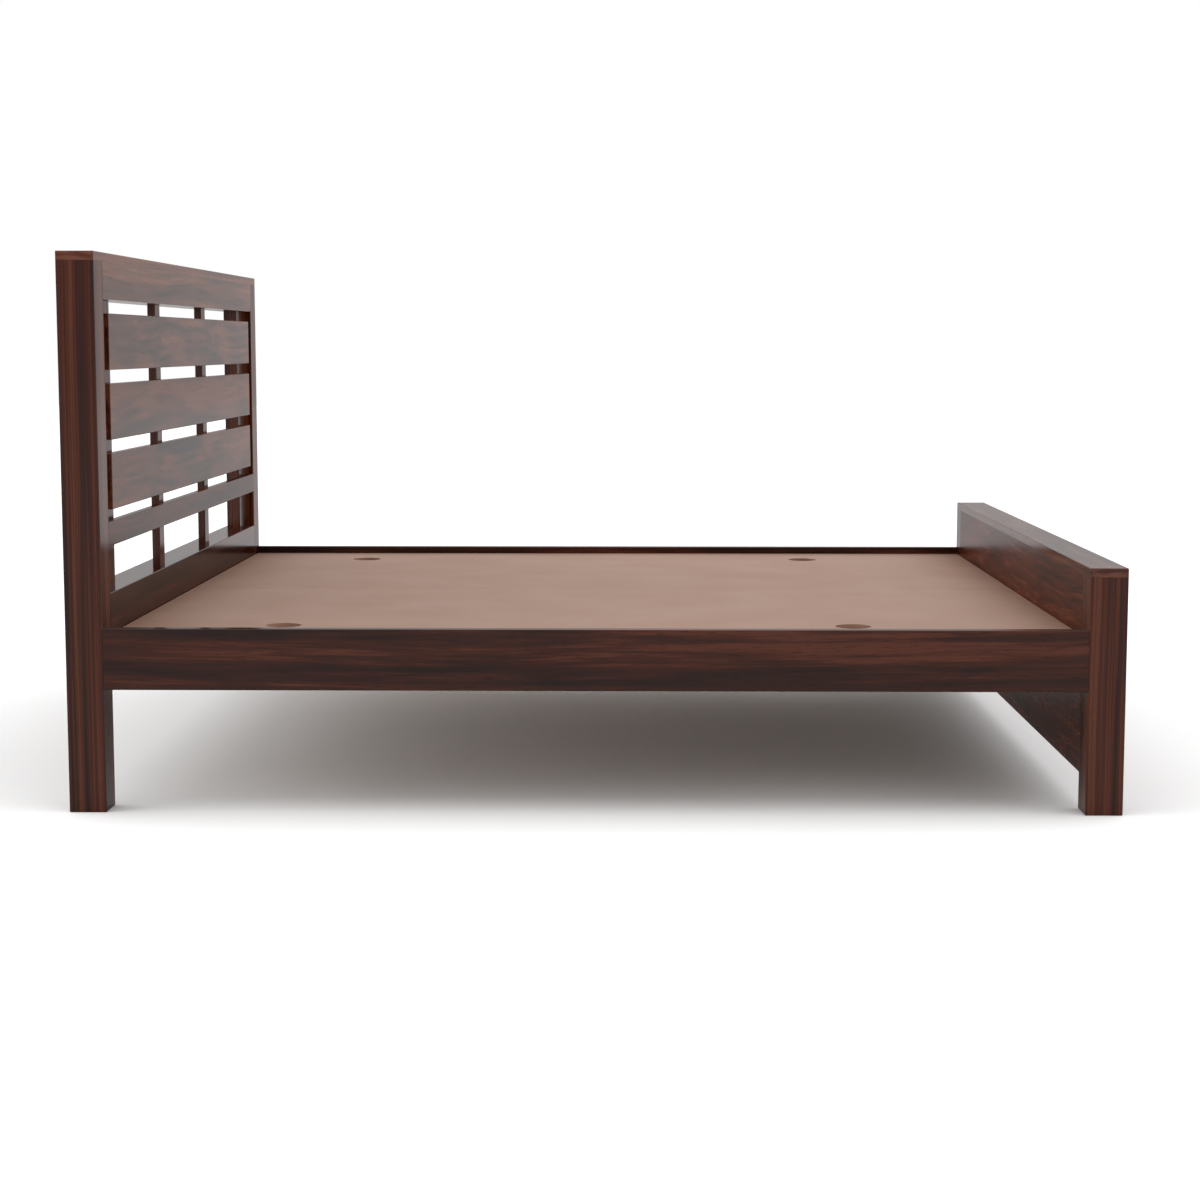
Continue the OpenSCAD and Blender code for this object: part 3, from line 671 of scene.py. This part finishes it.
crossSupports = {
    "name": "crossPine",
    "pieces": ["head_ledger", "foot_ledger", "cross_bearer_1", "cross_bearer_2",
               "cross_bearer_3", "cross_bearer_4", "cross_bearer_5", "cross_bearer_6"],
    "grain": "Y",
    "early": screenColour(210, 178, 134),
    "late": screenColour(172, 128, 84),
    "knot": screenColour(104, 66, 40),
}

dowels = {
    "name": "beechDowel",
    "pieces": ["cap_dowels", "rail_dowels"],
    "grain": "Z",
    "early": screenColour(214, 180, 140),
    "late": screenColour(190, 150, 110),
    "knot": screenColour(170, 128, 92),
}


# what the plain timbers share
timberFinish = {
    "rings": 9,                 # how often pale and dark growth change places
    "fine": 0.5,                # contrast of the fibre
    "toneStops": (0.1, 0.95),   # where early and late growth lie
    "knotEdges": (0.16, 0.06),
    "knotStrength": 0.8,
    # how much the eased edges lighten: wear and a painted highlight
    "wearAndHighlight": 0.3,
    "fibreBump": 0.5,
    "fibreDepth": 0.0005,       # metres
    "roughness": 0.6,
    "roughnessSpread": 0.2,
}


def paleTimber(look):
    look = {**timberFinish, **look}
    material, tree, shader = startMaterial(look["name"])
    place = pieceSpace(tree)

    def drawnOut(across, lengthwise):
        scale = [lengthwise if axis == look["grain"] else across for axis in "XYZ"]
        return stretched(tree, place, scale)

    rings = noise(tree, drawnOut(34, 0.8), roughness=0.4, distortion=0.3)
    rings = maths(tree, "PINGPONG", maths(tree, "MULTIPLY", rings, look["rings"]), 1)
    fibre = noise(tree, drawnOut(520, 16), detail=4, roughness=0.6)
    tone = swing(tree, fibre, look["fine"], rings)
    colour = colourRamp(tree, tone, list(zip(look["toneStops"], (look["early"], look["late"]))))
    spots = addNode(tree, "ShaderNodeTexVoronoi", {"Vector": drawnOut(9, 2.2), "Scale": 1.0})
    knots = remap(tree, spots.outputs["Distance"], *look["knotEdges"], 0.0, look["knotStrength"])
    colour = mixColour(tree, knots, colour, look["knot"])
    # eased edges lighten towards the early growth colour: wear, and a painted highlight along the
    # edge
    wornAndLit = maths(tree, "MULTIPLY", edgeMask(tree), look["wearAndHighlight"])

    feed(tree, shader, {
        "Base Color": mixColour(tree, wornAndLit, colour, look["early"]),
        "Roughness": maths(tree, "MULTIPLY_ADD", fibre, look["roughnessSpread"], look["roughness"]),
        "Normal": bump(tree, fibre, look["fibreBump"], look["fibreDepth"]),
    })
    dress(look, material)
    print(look["name"], "on", len(look["pieces"]), "pieces")


# steel and brass fittings

zincFittings = {
    "name": "zincPlate",
    "pieces": ["slat_screws", "hanger_screws", "frame_screws", "bracket_bolts", "bracket_washers"],
    "colour": screenColour(206, 204, 190),
    "tint": screenColour(186, 178, 140),    # the faint yellow of passivated zinc
    "roughness": 0.32,
    "metal": 1.0,
    "grit": 900,                            # grains per metre
    "gritDepth": 0.00008,                   # metres
}

hangers = {
    "name": "galvanisedSheet",
    "pieces": ["beam_hanger_head", "beam_hanger_foot"],
    "colour": screenColour(188, 192, 196),
    "tint": screenColour(150, 156, 162),
    "roughness": 0.42,
    "metal": 1.0,
    "grit": 240,
    "gritDepth": 0.00005,
}

brackets = {
    "name": "blackPowderCoat",
    "pieces": ["corner_bracket_head_left", "corner_bracket_head_right",
               "corner_bracket_foot_left", "corner_bracket_foot_right"],
    "colour": screenColour(34, 34, 36),
    "tint": screenColour(46, 46, 48),
    "roughness": 0.55,
    "metal": 0.0,
    "grit": 1300,
    "gritDepth": 0.0002,
}

inserts = {
    "name": "plainBrass",
    "pieces": ["threaded_inserts"],
    "colour": screenColour(212, 184, 112),
    "tint": screenColour(180, 148, 84),
    "roughness": 0.35,
    "metal": 1.0,
    "grit": 700,
    "gritDepth": 0.00006,
}


# what all fittings share
fittingFinish = {
    "spangle": 0.3,             # share of the tint that changes from crystal to crystal
    "patinaEdges": (0.3, 0.7),
    "patina": 0.7,
    "gritBump": 0.3,
    "roughnessSpread": 0.2,
}


def fittingMaterial(look):
    look = {**fittingFinish, **look}
    material, tree, shader = startMaterial(look["name"])
    place = pieceSpace(tree)
    spangle = addNode(tree, "ShaderNodeTexVoronoi", {"Vector": place, "Scale": look["grit"] / 2})
    grit = noise(tree, place, look["grit"], detail=3, roughness=0.6)
    patina = noise(tree, place, look["grit"] / 12, detail=3)
    patina = remap(tree, patina, *look["patinaEdges"], 0.0, look["patina"])
    amount = maths(tree, "MULTIPLY_ADD", spangle.outputs["Color"], look["spangle"], patina)
    feed(tree, shader, {
        "Base Color": mixColour(tree, amount, look["colour"], look["tint"]),
        "Metallic": look["metal"],
        "Roughness": swing(tree, grit, look["roughnessSpread"], look["roughness"]),
        "Normal": bump(tree, grit, look["gritBump"], look["gritDepth"]),
    })
    dress(look, material)
    print(look["name"], "on", len(look["pieces"]), "pieces")


setUpCamera()
setUpStudio()
for look in (posts, headCap, footCap, topRail, upperSlat, middleSlat, lowerSlat, midRail, battens,
             bottomRail, footPanel, sideRails):
    rosewood(look)
boardMaterial(platform)
for look in (supports, crossSupports, dowels):
    paleTimber(look)
for look in (zincFittings, hangers, brackets, inserts):
    fittingMaterial(look)

print("bed ready")
